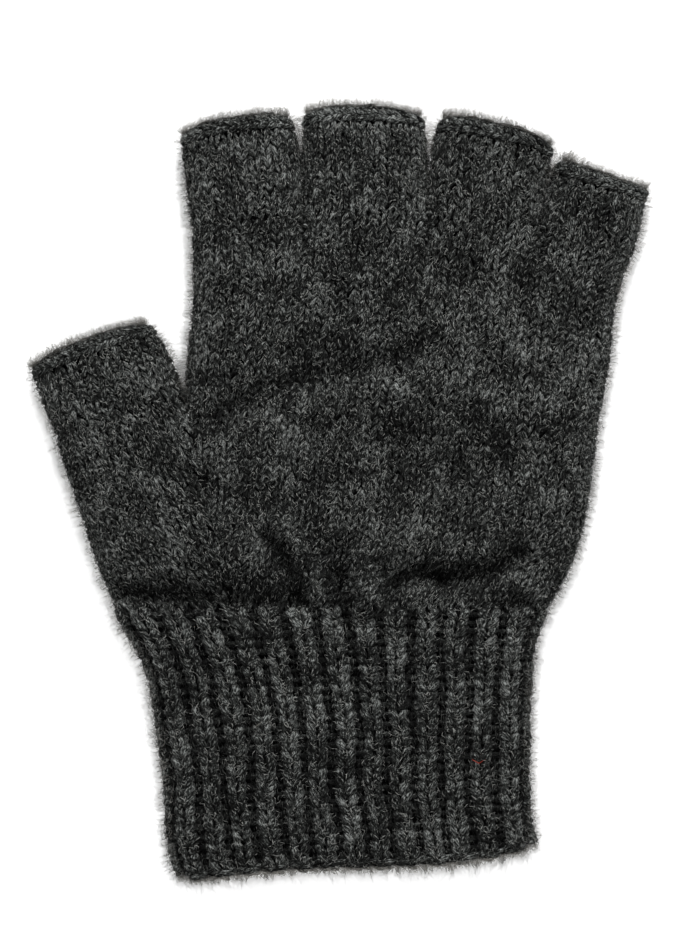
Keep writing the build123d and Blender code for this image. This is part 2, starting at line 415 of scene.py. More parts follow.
def cuff_tube():
    """The cuff, from its mouth up to the wrist."""
    middle, down = flat(mounts["cuff_mouth"]["pos_m"]), np.array(mounts["cuff_mouth"]["axis"][:2])
    way = np.array([-down[1], down[0]])
    reach = ((plan_edges(["cuff_edge"]).reshape(-1, 2) - middle) @ way).max()
    found = []
    for side, end in enumerate([middle - way * reach, middle + way * reach]):
        height = (wrist - end)[1]
        line = cad_side(["cuff_rib", "cuff_edge"], side, end, height)
        ease = np.interp(steps[:, 0] * height, *zip(*CUFF_EASE[side]))
        line += ease[:, None] * ACROSS * (-1, 1)[side] - CUFF_DROP * (1 - steps) ** 3 * UP
        found.append(line)
    return make_tube(*found, bow=mouth_bow, ribs=RIBS, rib_depth=RIB_DEPTH)


tubes = {"hand": hand_tube(), "gusset": gusset_tube(), "cuff": cuff_tube()}
tubes |= {body: stall_tube(body) for body in STALLS}

# %% [markdown]
# ## One stitch
#
# Plain knitting shows columns of V shapes. Each V is a stitch, and its two legs are short lengths of yarn
# whose ends dive under the next stitches. So one leg is modelled: a stretched sphere with few faces, because
# there will be thousands of it. A curve swept for every stitch would cost twenty times as much.

# %% Model one leg
WALE, COURSE = 3.0, 2.05  # width and height of a stitch in plain knitting


def triangles(made):
    """The points and triangles of an object in edit mode, which is then removed."""
    bpy.ops.mesh.select_all(action="SELECT")
    bpy.ops.mesh.quads_convert_to_tris()
    bpy.ops.mesh.normals_make_consistent(inside=False)
    bpy.ops.object.mode_set(mode="OBJECT")
    points = np.array([vertex.co for vertex in made.data.vertices])
    faces = np.array([face.vertices for face in made.data.polygons])
    bpy.data.objects.remove(made)
    return points, faces


def leg(length, thick, dip, rings=5):
    """A leg along Y: its points in millimetres, its triangles and its points' places on the yarn."""
    bpy.ops.mesh.primitive_uv_sphere_add(segments=6, ring_count=rings, radius=0.5)
    made = bpy.context.object
    bpy.ops.object.mode_set(mode="EDIT")
    bpy.ops.mesh.select_all(action="SELECT")
    bpy.ops.transform.rotate(value=pi / 2, orient_axis="X", center_override=(0, 0, 0))
    bpy.ops.transform.resize(value=(thick, length, 0.9 * thick))
    points, faces = triangles(made)
    along = points[:, 1] / length + 0.5
    around = np.arctan2(points[:, 2], points[:, 0]) / (2 * pi) + 0.5
    points[:, 2] -= dip * (2 * along - 1) ** 2
    place = np.column_stack([around * pi * thick, along * length])
    return points, faces, place


plain_leg = leg(length=2.0 * COURSE, thick=1.3, dip=0.9)

# %% [markdown]
# Felted wool is never even. Each leg is turned, shifted and thickened a little at random, and carries two
# facts for its material: a tone, and a place on the yarn in millimetres. Besides random variation, the tone
# holds painted shade: darker towards the leg's ends, where it dives under its neighbours, in the folds of
# the upper layer, and in the cuff's furrows.

# %% Copy the leg over a tube
CLOUD, CLOUDY = 7.0, 0.28  # size and strength of the cloth's lighter and darker clouds
# How much legs vary: turned in degrees, thickened as a share, shifted across, along and out, and in tone.
TURNED, FATTER, ACROSS_BY, ALONG_BY, OUT_BY, TONED = 7, 0.08, 0.13, 0.15, 0.1, 0.1
LOWEST_YARN = 0.05  # yarn is pressed up to this height over the sheet
DIVE_SHADE = 0.35  # painted shade: how much darker a leg is made towards its ends, where it dives under its neighbours
YARN = 90.0  # legs lie at random places along a yarn of this length
FOLD_SHADE = 0.045  # painted shade: how much darker the wool is made for each millimetre down in a fold


def clouds(points):
    """A slow variation between about -0.5 and 0.5 over the cloth."""
    return np.array([noise.noise(Vector(point / CLOUD)) for point in points])


def painted_fold_shade(tube, turns, points):
    """Painted shade: how much darker the wool is made at each point for lying in a fold of the upper layer."""
    down = np.clip(-fold_height(points[:, :2]), 0, None)
    return FOLD_SHADE * down * (turns % 1 < 0.5) * (tube is not tubes["cuff"])


def lay(tube, one, turns, rises, slant, shift, out=0.0, painted_shade=0.0):
    """Copies of a leg on a tube, at each turn and rise, as points, triangles, tones and yarn places.

    slant is the leg's angle from the tube's length, and shift how far it stands aside.
    """
    shape, faces, place = one
    count = len(turns)
    angle = np.radians(slant + random.normal(0, TURNED, count))
    fat = 1 + random.normal(0, FATTER, count)[:, None]
    x, y, z = (shape[:, axis] * fat for axis in range(3))
    c, s = np.cos(angle)[:, None], np.sin(angle)[:, None]
    across = x * c + y * s + (shift + random.normal(0, ACROSS_BY, count))[:, None]
    along = y * c - x * s + random.normal(0, ALONG_BY, count)[:, None]
    lift = random.normal(0, OUT_BY, count)[:, None]
    turn = turns[:, None] + across / tube["girth"].mean()
    rise = rises[:, None] + along / tube["length"]
    points = wrap(tube, turn, rise, z + out + lift)
    points[..., 2] = np.clip(points[..., 2], LOWEST_YARN, None)
    middle = points.mean(1)
    # The tone is lowered by painted shade: over the whole leg where it lies down in a cuff's furrow, and where it
    # lies in a fold of the upper layer.
    tone = 0.5 + CLOUDY * clouds(middle) + random.normal(0, TONED, count) - painted_shade
    tone -= painted_fold_shade(tube, turns, middle)
    # Painted shade, darker towards the leg's ends, where it dives under its neighbours.
    dive_shade = DIVE_SHADE * (2 * shape[:, 1] / np.ptp(shape[:, 1])) ** 2
    return {
        "points": points.reshape(-1, 3),
        "faces": (faces[None] + len(shape) * np.arange(count)[:, None, None]).reshape(-1, 3),
        "tone": (tone[:, None] - dive_shade).ravel(),
        "place": (place[None] + random.uniform(0, YARN, (count, 1, 2))).reshape(-1, 2),
    }


def joined(parts):
    """Several sets of points and triangles as one."""
    first, made = 0, {"faces": []}
    for part in parts:
        made["faces"].append(part["faces"] + first)
        first += len(part["points"])
    made["faces"] = np.concatenate(made["faces"])
    for fact in ("points", "tone", "place"):
        made[fact] = np.concatenate([part[fact] for part in parts])
    return made


# %% Make a piece of the glove
def dress(made_object, finish, stands_for=()):
    """Gives a piece its material and hides the CAD nodes that it stands for."""
    made_object.data.materials.clear()
    made_object.data.materials.append(finish)
    if stands_for:
        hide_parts(*stands_for)
    print(f"{made_object.name}: {len(made_object.data.polygons)} faces")
    return made_object


def piece(name, made, finish, stands_for=()):
    """An object of those points and triangles, with its tones, yarn places and material."""
    mesh = bpy.data.meshes.new(name)
    mesh.from_pydata((made["points"] * MM).tolist(), [], made["faces"].tolist())
    tone = mesh.attributes.new("tone", "FLOAT", "POINT")
    tone.data.foreach_set("value", made["tone"].astype(np.float32))
    corner = np.empty(len(mesh.loops), dtype=int)
    mesh.loops.foreach_get("vertex_index", corner)
    mesh.uv_layers.new(name="yarn").data.foreach_set("uv", made["place"][corner].ravel())
    mesh.shade_smooth()
    made_object = bpy.data.objects.new(name, mesh)
    bpy.context.scene.collection.objects.link(made_object)
    return dress(made_object, finish, stands_for)


# %% [markdown]
# A piece of the hand or the gusset rides on the hand. A stall's knitting starts on the hand and ends on the
# finger, and the cuff's runs on past the wrist; these pieces are not fastened to a body, and only have their
# placement applied.


def fasten(made_object, body):
    """Makes a piece of the hand or the gusset follow the hand; any other piece only has its placement applied."""
    if body in ("hand", "gusset"):
        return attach(made_object, "hand")
    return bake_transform(made_object)


# %% [markdown]
# ## Charcoal wool
#
# The yarn is carded wool, spun from fleece dyed in several greys, so dark and light fibres lie side by side
# in it, like salt and pepper. They are drawn as streaks along the yarn, and the leg's tone pushes the whole
# mixture lighter or darker. Real fibres are too fine to be seen, so the streaks are about 0.3 mm wide, like
# small locks of fibre.

# %% Colours and nodes
def linear(code):
    """An sRGB hex colour as linear RGBA."""
    parts = [int(code[i : i + 2], 16) / 255 for i in (1, 3, 5)]
    return (*(c / 12.92 if c <= 0.04045 else ((c + 0.055) / 1.055) ** 2.4 for c in parts), 1)


def add(tree, kind, settings=None, inputs=None, stops=()):
    """Adds a node with its settings. An input is a value, or the output of another node."""
    made = tree.nodes.new(kind)
    for key, value in (settings or {}).items():
        setattr(made, key, value)
    for key, value in (inputs or {}).items():
        if isinstance(value, bpy.types.NodeSocket):
            tree.links.new(value, made.inputs[key])
        else:
            made.inputs[key].default_value = value
    for number, (place, code) in enumerate(stops):
        if len(made.color_ramp.elements) < len(stops) and number > 0:
            made.color_ramp.elements.new(place)
        made.color_ramp.elements[number].position = place
        made.color_ramp.elements[number].color = linear(code)
    return made


# %% Heathered wool
LOCK_WIDTH, LOCK_LENGTH = 0.32, 0.85  # of a streak and the gap beside it, in millimetres
PLY_TWIST = 0.45  # how far the locks are turned from the yarn's length, in radians
LOCK_RELIEF = 0.4  # how far the locks stand out, in millimetres


def wool(name, greys, tone_share=0.3, bump=0.6):
    """Wool yarn: locks of fibre along it, in greys from the darkest to the lightest, over a leg's tone."""
    material = bpy.data.materials.new(name)
    material.use_nodes = True
    tree = material.node_tree
    tree.nodes.clear()
    place = add(tree, "ShaderNodeUVMap", {"uv_map": "yarn"}).outputs["UV"]
    turned = add(tree, "ShaderNodeMapping", inputs={
        "Vector": place, "Rotation": (0, 0, PLY_TWIST), "Scale": (1 / LOCK_WIDTH, 1 / LOCK_LENGTH, 1),
    })
    locks = add(tree, "ShaderNodeTexNoise", inputs={
        "Vector": turned.outputs["Vector"], "Scale": 1.0, "Detail": 2.0, "Roughness": 0.55,
        "Distortion": 0.8,
    })
    tone = add(tree, "ShaderNodeAttribute", {"attribute_name": "tone"}).outputs["Fac"]
    push = add(tree, "ShaderNodeMath", {"operation": "MULTIPLY_ADD"}, {
        0: tone, 1: tone_share, 2: -tone_share / 2,
    })
    shade = add(tree, "ShaderNodeMath", {"operation": "ADD"}, {0: locks.outputs["Fac"], 1: push.outputs[0]})
    colour = add(tree, "ShaderNodeValToRGB", inputs={"Fac": shade.outputs[0]}, stops=greys)
    raised = add(tree, "ShaderNodeBump", inputs={
        "Height": locks.outputs["Fac"], "Strength": bump, "Distance": LOCK_RELIEF * MM,
    })
    shader = add(tree, "ShaderNodeBsdfPrincipled", inputs={
        "Base Color": colour.outputs["Color"], "Roughness": 0.95, "Specular IOR Level": 0.08,
        "Sheen Weight": 0.03, "Sheen Roughness": 0.6, "Normal": raised.outputs["Normal"],
    })
    add(tree, "ShaderNodeOutputMaterial", inputs={"Surface": shader.outputs["BSDF"]})
    return material


yarn_wool = wool("charcoal heathered wool yarn", [
    (0.345, "#030303"), (0.445, "#151615"), (0.54, "#373937"), (0.67, "#8c8f8d"),
])
# Painted shade: the wool down in the rib's furrows is a darker copy of the yarn.
furrow_shade_wool = wool("charcoal heathered wool yarn, down in the furrows", [
    (0.36, "#030303"), (0.48, "#121312"), (0.58, "#2b2d2b"), (0.72, "#5c5e5c"),
])
shaded_wool = wool("charcoal wool, the shaded back of the knitting", [(0.4, "#020202"), (0.65, "#0c0d0d")])
loose_wool = wool("loose wool fibre", [
    (0.20, "#0a0a0a"), (0.45, "#2d2f2d"), (0.6, "#636562"), (0.8, "#a9aaa6"),
], tone_share=0.8, bump=0.0)
# The haze's greys are paler than the down's: partly the wool's own pale fibres, partly painted light shining
# through the fibres.
haze_wool = wool("loose wool fibre against the light", [
    (0.3, "#222321"), (0.5, "#494946"), (0.7, "#787672"), (0.9, "#a3a19b"),
], tone_share=0.8, bump=0.0)

# %% [markdown]
# ## The ground of the knitting
#
# Between the stitches one sees the fabric's back, in shade. A wall of wool under the stitches closes those
# gaps and leaves the glove hollow; its near-black colour is painted shade. It is a flat grid wrapped on each
# tube, with its two edges merged along the side, and given its thickness inwards.

# %% Keep to the part's side of the seam
def past_seam(plan):
    """How far each point in plan lies past the seam, on the hand's side of it."""
    way = (crotch - seam_foot) / np.linalg.norm(crotch - seam_foot)
    off = plan - seam_foot
    return off[..., 0] * way[1] - off[..., 1] * way[0]


def kept(body, plan, margin=0.0):
    """Which points of a tube belong to its part of the glove."""
    if body == "hand":
        return (past_seam(plan) > -margin) | (plan[..., 1] > crotch[1])
    if body == "gusset":
        return past_seam(plan) < margin
    return np.ones(plan.shape[:-1], dtype=bool)


# %% Wrap the ground on the tubes
WALL = 0.6  # thickness of the ground
SEAM_LAP = 2.5  # how far the grounds of hand and gusset run on past the seam


def ground(body, name, deep, pitch, stands_for, low=0.0, high=1.0):
    """The wall under a tube's stitches, deep under the middle of the yarn, with a grid of that pitch."""
    tube = tubes[body]
    across, up = (round(size / pitch) for size in (tube["girth"].mean(), tube["length"]))
    bpy.ops.mesh.primitive_grid_add(x_subdivisions=across, y_subdivisions=up, size=1)
    made = bpy.context.object
    made.name = made.data.name = name
    cloth = made.data
    shares = np.array([vertex.co[:2] for vertex in cloth.vertices]) + 0.5
    points = wrap(tube, shares[:, 0], low + shares[:, 1] * (high - low), np.full(len(shares), -deep))
    cloth.vertices.foreach_set("co", (points * MM).ravel())
    bpy.ops.object.mode_set(mode="EDIT")
    bpy.ops.mesh.select_mode(type="VERT")
    bpy.ops.mesh.select_all(action="DESELECT")
    bpy.ops.object.mode_set(mode="OBJECT")
    for vertex, stays in zip(cloth.vertices, kept(body, points[:, :2], margin=SEAM_LAP)):
        vertex.select = not stays
    bpy.ops.object.mode_set(mode="EDIT")
    bpy.ops.mesh.delete(type="VERT")
    bpy.ops.mesh.select_all(action="SELECT")
    bpy.ops.mesh.remove_doubles(threshold=0.01 * MM)
    bpy.ops.object.mode_set(mode="OBJECT")
    wall = made.modifiers.new("wall", "SOLIDIFY")
    wall.thickness, wall.offset = WALL * MM, -1
    bpy.ops.object.modifier_apply(modifier=wall.name)
    cloth.attributes.new("tone", "FLOAT", "POINT")
    cloth.uv_layers[0].name = "yarn"
    places = np.empty(2 * len(cloth.loops))
    cloth.uv_layers[0].data.foreach_get("uv", places)
    places = places.reshape(-1, 2) * [tube["girth"].mean(), tube["length"]]
    cloth.uv_layers[0].data.foreach_set("uv", places.ravel())
    cloth.shade_smooth()
    return fasten(dress(made, shaded_wool, stands_for), body)


ground("hand", "hand_ground", 0.9, 1.2, ["hand_tube"], low=-0.008)
ground("gusset", "gusset_ground", 0.95, 1.2, ["thumb_gusset"], low=-0.015)
for body in STALLS:
    ground(body, f"{body}_ground", 0.9, 1.2, [f"{body}_stall"])

# %% [markdown]
# ## Plain knitting on the hand, the gusset and the stalls
#
# The number of stitches round each tube is fixed, so they are wider where the hand is wide. The hand's and
# the gusset's rows stop at the seam between them.

# %% Knit the plain tubes
FINGER_EDGE = 3.6  # height of a stall's cast-off edge
SLANT = 22  # of a stitch's legs, in degrees


def knit(body, edge=0.0):
    """The stitches of a plain tube, the upper and the lower layer apart."""
    tube = tubes[body]
    columns = round(tube["girth"].mean() / WALE)
    rows = round((tube["length"] - edge) / COURSE)
    row, column = (grid.ravel() for grid in np.mgrid[0:rows, 0:columns])
    turns, rises = (column + 0.5) / columns, (row + 0.5) * (1 - edge / tube["length"]) / rows
    centre = wrap(tube, turns, rises, np.zeros(len(turns)))
    stays = kept(body, centre[:, :2])
    layers = []
    for layer in (centre[:, 2] >= LOFT / 2, centre[:, 2] < LOFT / 2):
        at = stays & layer
        layers.append(joined([
            lay(tube, plain_leg, turns[at], rises[at], side * SLANT, side * WALE / 4) for side in (-1, 1)
        ]))
    print(f"{body}: {columns} stitches round, {rows} rows")
    return layers


for body in ("hand", "gusset", *STALLS):
    layers = knit(body, edge=FINGER_EDGE if body in STALLS else 0)
    for layer, made in zip(("palm", "back"), layers):
        fasten(piece(f"{body}_{layer}_knit", made, yarn_wool), body)

# %% [markdown]
# ## The ribbed cuff
#
# One plain stitch, one purl stitch: the plain columns stand as ribs, and the purl columns fall back into
# dark furrows, where the yarn lies across. The cuff's tube already has the wave, so a thicker leg goes on
# its crests and short bars go across its furrows. The bars' darker wool is painted shade.

# %% Knit the cuff
RIB_COURSE = 2.3  # height of a stitch in the ribbing
RIB_SLANT = 26  # of its legs, in degrees
ACROSS_FURROW = 88  # slant of a bar in a furrow, in degrees
CUFF_EDGE = 1.4  # height of the cast-on cord
SCALLOP = 0.5  # how far each rib pushes the cast-on cord down
RIB_SPREAD = 1.3  # how far a rib's two legs stand from its crest
rib_leg = leg(length=2.0 * RIB_COURSE, thick=2.2, dip=0.9)
bar = leg(length=2.6, thick=1.6, dip=0.4)


def cuff_knit():
    """The cuff's ribs and furrows, the upper and the lower layer apart."""
    tube = tubes["cuff"]
    start = CUFF_EDGE / tube["length"]
    rows = round((tube["length"] - CUFF_EDGE) / RIB_COURSE)
    row, rib = (grid.ravel() for grid in np.mgrid[0:rows, 0:RIBS])
    rises = start + (row + 0.5) / rows * (1 - start)
    layers = {"palm": [], "back": []}
    for turns, parts in (
        (rib / RIBS, [(rib_leg, side * RIB_SLANT, side * RIB_SPREAD, 0.0) for side in (-1, 1)]),
        # The furrows' bars are given 0.1 of painted shade.
        ((rib + 0.5) / RIBS, [(bar, ACROSS_FURROW, 0.0, 0.1)]),
    ):
        centre = wrap(tube, turns, rises, np.zeros(len(turns)))
        for layer, at in (("palm", centre[:, 2] >= LOFT / 2), ("back", centre[:, 2] < LOFT / 2)):
            for one, slant, shift, painted_shade in parts:
                layers[layer].append(lay(tube, one, turns[at], rises[at], slant, shift, painted_shade=painted_shade))
    return layers


ground("cuff", "cuff_ground", 1.0, 1.1, ["cuff_rib"], high=1.01)
for layer, parts in cuff_knit().items():
    fasten(piece(f"cuff_{layer}_ribs", joined(parts[:2]), yarn_wool), "cuff")
    fasten(piece(f"cuff_{layer}_furrows", parts[2], furrow_shade_wool), "cuff")

# %% [markdown]
# ## Cast-on and cast-off edges
#
# Each stall ends in a cast-off edge: a chain of stitches lies sideways over the last row, as a thick soft
# roll with a dark line under it. The cuff begins with a thin cast-on cord. Both are legs again, laid almost
# across the tube.

# %% Roll the edges
EDGE_STEP = 2.0  # from one leg of a row to the next, in millimetres
edge_leg = leg(length=3.6, thick=1.7, dip=0.5)
cord_leg = leg(length=3.6, thick=1.5, dip=0.4)


def edge(body, name, one, rows, stands_for):
    """A rolled edge of rows of legs, each given as how far from the tube's end, how far out and its slant."""
    tube = tubes[body]
    count = round(tube["girth"].mean() / EDGE_STEP)
    parts = []
    for from_end, out, slant in rows:
        turns = (np.arange(count) + random.uniform(0, 1)) / count
        if body == "cuff":
            rises = (from_end - SCALLOP * np.cos(2 * pi * RIBS * turns)) / tube["length"]
        else:
            rises = np.full(count, 1 - from_end / tube["length"])
        parts.append(lay(tube, one, turns, rises, slant, 0.0, out))
    return fasten(piece(name, joined(parts), yarn_wool, stands_for), body)


for body in STALLS:
    rows = [(2.6, 0.25, 66), (1.3, 0.3, -64), (0.3, -0.3, 82)]
    edge(body, f"{body}_cast_off", edge_leg, rows, [f"{body}_edge"])
edge("cuff", "cuff_cast_on", cord_leg, [(1.1, 0.2, 74), (0.2, -0.2, -78)], ["cuff_edge"])

# %% [markdown]
# ## Crotches
#
# Where two stalls part, a few stitches are picked up across the crotch, from the upper layer to the lower.
# They are legs that stand upright between the layers.

# %% Close the crotches
crotch_leg = leg(length=1.0, thick=1.0, dip=0.0, rings=6)
STRANDS, STRAND = 5, 2.0  # how many close a crotch, and how thick they are
LEAN_OUT = 0.9  # how far a strand's ends stand aside, one to the left and the next to the right


def strands(starts, ends, thick):
    """Legs that run straight from each start to its end."""
    shape, faces, place = crotch_leg
    way = ends - starts
    long = np.linalg.norm(way, axis=1, keepdims=True)
    way = way / long
    side = np.cross(way, [0.31, 0.95, 0.02])
    side /= np.linalg.norm(side, axis=1, keepdims=True)
    up = np.cross(side, way)
    points = (starts + ends)[:, None] / 2 + thick * shape[None, :, :1] * side[:, None]
    points = points + long[:, None] * shape[None, :, 1:2] * way[:, None]
    points = points + thick * shape[None, :, 2:] * up[:, None]
    count = len(starts)
    return {
        "points": points.reshape(-1, 3),
        "faces": (faces[None] + len(shape) * np.arange(count)[:, None, None]).reshape(-1, 3),
        "tone": np.repeat(random.uniform(0.2, 0.6, count), len(shape)),
        "place": (place[None] * [1, 5] + random.uniform(0, YARN, (count, 1, 2))).reshape(-1, 2),
    }


def close_crotch(node):
    """A few strands from the lower to the upper layer, in the place of a CAD web."""
    low, high = (np.array(corner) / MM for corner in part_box(node))
    middle, size = (low + high) / 2, high - low
    starts, ends = [], []
    for number, row in enumerate(np.linspace(-0.42, 0.42, STRANDS)):
        lean = LEAN_OUT * (-1) ** number
        at = middle[:2] + [0, row * size[1]]
        starts.append([at[0] - lean, at[1], 1.0])
        ends.append([at[0] + lean, at[1], LOFT - 1.0])
    made = strands(np.array(starts), np.array(ends), STRAND)
    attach(piece(f"{node}_stitches", made, yarn_wool, [node]), "hand")


for node in ("thumb_web", "index_middle_web", "middle_ring_web", "ring_little_web"):
    close_crotch(node)

# %% [markdown]
# ## Darned yarn ends
#
# Knitting begins and ends with a tail of yarn, which is darned in on the inside. It is two plies twisted
# together, so two thin cylinders are set side by side and turned by a Simple Deform modifier.

# %% Twist the yarn ends
PLY = 0.62  # thickness of one ply, less than half the tail's, because the twist bulges
TWIST = 4.0  # millimetres for one turn of the plies
CUTS = 0.45  # millimetres from one cut across a ply to the next


def yarn_end(node, body):
    """Two twisted plies in the place of a CAD yarn end."""
    mesh = frame["nodes"][node].data
    points = np.array([vertex.co for vertex in mesh.vertices]) / MM
    middle = (points.min(0) + points.max(0)) / 2
    way = np.linalg.svd(points - points.mean(0), full_matrices=False)[2][0]
    long = np.ptp(points @ way)
    for side in (-1, 1):
        bpy.ops.mesh.primitive_cylinder_add(
            vertices=8, radius=PLY / 2 * MM, depth=long * MM, location=(side * PLY / 2 * MM, 0, 0))
        bpy.ops.object.transform_apply(location=True)
        bpy.context.object.name = f"{node}_{side}"
    bpy.data.objects[f"{node}_-1"].select_set(True)
    bpy.ops.object.join()
    made = bpy.context.object
    made.name = made.data.name = f"{node}_plies"
    bpy.ops.object.mode_set(mode="EDIT")
    for height in np.linspace(-0.5, 0.5, round(long / CUTS))[1:-1]:
        bpy.ops.mesh.select_all(action="SELECT")
        bpy.ops.mesh.bisect(plane_co=(0, 0, height * long * MM), plane_no=(0, 0, 1))
    bpy.ops.object.mode_set(mode="OBJECT")
    twist = made.modifiers.new("twist", "SIMPLE_DEFORM")
    twist.deform_method, twist.deform_axis, twist.angle = "TWIST", "Z", 2 * pi * long / TWIST
    bpy.ops.object.modifier_apply(modifier=twist.name)
    made.rotation_euler = Vector(way).to_track_quat("Z", "X").to_euler()
    made.location = middle * MM
    bpy.ops.object.transform_apply(location=True, rotation=True)
    made.data.shade_smooth()
    made.data.uv_layers[0].name = "yarn"
    made.data.attributes.new("tone", "FLOAT", "POINT")
    fasten(dress(made, loose_wool, [node]), body)


yarn_end("cuff_yarn_end", "cuff")
for body in STALLS:
    yarn_end(f"{body}_yarn_end", body)

# %% [markdown]
# ## Fuzz
#
# Woollen yarn is hairy: fine curled fibres lie all over the stitches and stand out as a pale halo round the
# edges. One fibre is modelled, a thin three-sided spike in two runs, and copied with its own length,
# direction and curl. Hair particles would look as good, but they aren't a mesh that the glove can keep.

# %% Model one fibre
def fibre():
    """A spike along Z, one long and one thick: its points and its triangles."""
    bpy.ops.mesh.primitive_circle_add(vertices=3, radius=1, fill_type="NGON")
    made = bpy.context.object
    bpy.ops.object.mode_set(mode="EDIT")
    bpy.ops.mesh.select_all(action="SELECT")
    bpy.ops.mesh.extrude_region_move(TRANSFORM_OT_translate={"value": (0, 0, 0.5)})
    bpy.ops.mesh.extrude_region_move(TRANSFORM_OT_translate={"value": (0, 0, 0.5)})
    bpy.ops.mesh.merge(type="CENTER")
    return triangles(made)


spike = fibre()

# %% Scatter fibres on a tube
FIBRE = 0.05  # radius, about three times a real fibre's, so that it shows
CURL, ARCH = 1.2, 0.35  # how far its two runs turn apart, and how far it arches, in radians
CLOUDY_FUZZ = 0.18  # strength of the cloth's clouds in its fuzz


def scatter(body, turns, rises, length, stand, heading, tone, start=0.3, fine=1.0):
    """Fibres on a tube.

    stand is how steeply they stand and heading where they point, both in radians. start is how far out they
    begin, and fine how thick they are beside FIBRE.
    """
    tube, (shape, faces) = tubes[body], spike
    count = len(turns)
    curl = random.normal(0, CURL, count)
    points, ways = [np.zeros((count, 3))], []
    for run in range(2):
        bearing, tilt = heading + curl * (run - 0.5), stand + ARCH - 2 * ARCH * run
        level = np.cos(tilt)
        ways.append(np.column_stack([np.cos(bearing) * level, np.sin(bearing) * level, np.sin(tilt)]))
        points.append(points[-1] + ways[-1] * (length / 2)[:, None])
    joint = np.rint(shape[:, 2] * 2).astype(int)
    centre = np.stack(points, 1)[:, joint]
    way = np.stack([ways[0], ways[0] + ways[1], ways[1]], 1)
    way /= np.linalg.norm(way, axis=2, keepdims=True)
    side = np.cross(way, [0.05, 0.3, 1.0])
    side /= np.linalg.norm(side, axis=2, keepdims=True)
    up = np.cross(way, side)
    thick = fine * FIBRE * random.uniform(0.7, 1.2, count)[:, None, None]
    local = centre + thick * (shape[None, :, :1] * side[:, joint] + shape[None, :, 1:2] * up[:, joint])
    girth = np.interp(rises, np.linspace(0, 1, len(tube["girth"])), tube["girth"])[:, None]
    turn, rise = turns[:, None] + local[..., 0] / girth, rises[:, None] + local[..., 1] / tube["length"]
    found = wrap(tube, turn, rise, start + local[..., 2])
    found[..., 2] = np.clip(found[..., 2], LOWEST_YARN, None)
    # The fibres take the same painted shade in the folds.
    tone = tone + CLOUDY_FUZZ * clouds(found[:, 0]) - painted_fold_shade(tube, turns, found[:, 0])
    place = random.uniform(0, YARN, (count, 2))
    return {
        "points": found.reshape(-1, 3),
        "faces": (faces[None] + len(shape) * np.arange(count)[:, None, None]).reshape(-1, 3),
        "tone": np.repeat(tone, len(shape)),
        "place": np.repeat(place, len(shape), axis=0) + np.tile(0.1 * shape[:, :2], (count, 1)),
    }


# %% [markdown]
# Most fibres lie along the leg that they have come loose from, which keeps the V's readable through the
# fuzz. Down in the furrows of the ribs the fibres are darkened with painted shade, and lie along the rib.

# %% Grow the down
DOWN = {"palm": 3.0, "back": 0.8}  # fibres for each square millimetre
MOST = 18000  # fibres in one piece
PALE = 0.33  # share of pale fibres
LEAN = 0.42  # slant of a leg's fibres, in radians
FURROW = 0.16  # what share of a rib's width is furrow, on either side
EDGE_ON = 0.16  # how much of a tube's girth counts as its rim, where fibres stand up
# How many times as many fibres, how far they stray from their slant in radians, and the longest of them.
SMOOTH, SHAGGY = (1, 0.55, 1.7), (1.25, 0.8, 2.3)
columns = {body: round(tube["girth"].mean() / WALE) for body, tube in tubes.items()} | {"cuff": RIBS}


def down(body, layer):
    """Short fibres all over one layer of a part."""
    tube = tubes[body]
    more, stray_by, longest = SHAGGY if body == "cuff" and layer == "palm" else SMOOTH
    count = round(tube["girth"].mean() * tube["length"] / 2 * DOWN[layer] * more)
    turns = random.uniform(0, 0.5, count) + (0.5 if layer == "back" else 0)
    rises = random.uniform(0, 1, count)
    stays = kept(body, wrap(tube, turns, rises, np.zeros(count))[:, :2])
    turns, rises, count = turns[stays], rises[stays], stays.sum()
    phase = (turns * columns[body] + (0.5 if body == "cuff" else 0)) % 1
    heading = pi / 2 + np.where(phase < 0.5, LEAN, -LEAN) + random.normal(0, stray_by, count)
    heading += pi * random.integers(0, 2, count)
    is_pale = random.uniform(0, 1, count) < PALE
    tone = np.where(is_pale, random.uniform(0.6, 1.1, count), random.uniform(0, 0.5, count))
    if body == "cuff":
        furrow = (phase < FURROW) | (phase > 1 - FURROW)
        heading = np.where(furrow, pi / 2 + random.normal(0, 0.3, count), heading)
        # Painted shade: the fibres down in the furrows are made darker.
        tone = np.where(furrow, tone * 0.7 - 0.05, tone)
    upright = np.abs(np.sin(2 * pi * turns)) < EDGE_ON
    stand = np.where(upright, random.uniform(0.1, 0.7, count), random.uniform(-0.1, 0.25, count))
    length = random.uniform(0.6, longest, count)
    pieces = -(-count // MOST)
    for number in range(pieces):
        cut = slice(number * count // pieces, (number + 1) * count // pieces)
        made = scatter(body, turns[cut], rises[cut], length[cut], stand[cut], heading[cut], tone[cut])
        name = f"{body}_{layer}_down" + (f"_{number + 1}" if pieces > 1 else "")
        fasten(piece(name, made, loose_wool), body)


for body in tubes:
    for layer in DOWN:
        down(body, layer)

# %% [markdown]
# Round the outline the long fibres show against the light, as two or three millimetres of pale haze. They
# grow on the tubes' rims, on the tips and at the cuff's mouth.

# %% Grow the haze
LONGEST = 5.5  # the longest fibre of the haze
HAZE = 32.0  # long fibres for each millimetre of outline
SLIT = 0.6  # what share of a stall's side lies close to its neighbour, where the fibres are short and darkened with painted shade
HAIR = 0.4  # how thick they are beside FIBRE


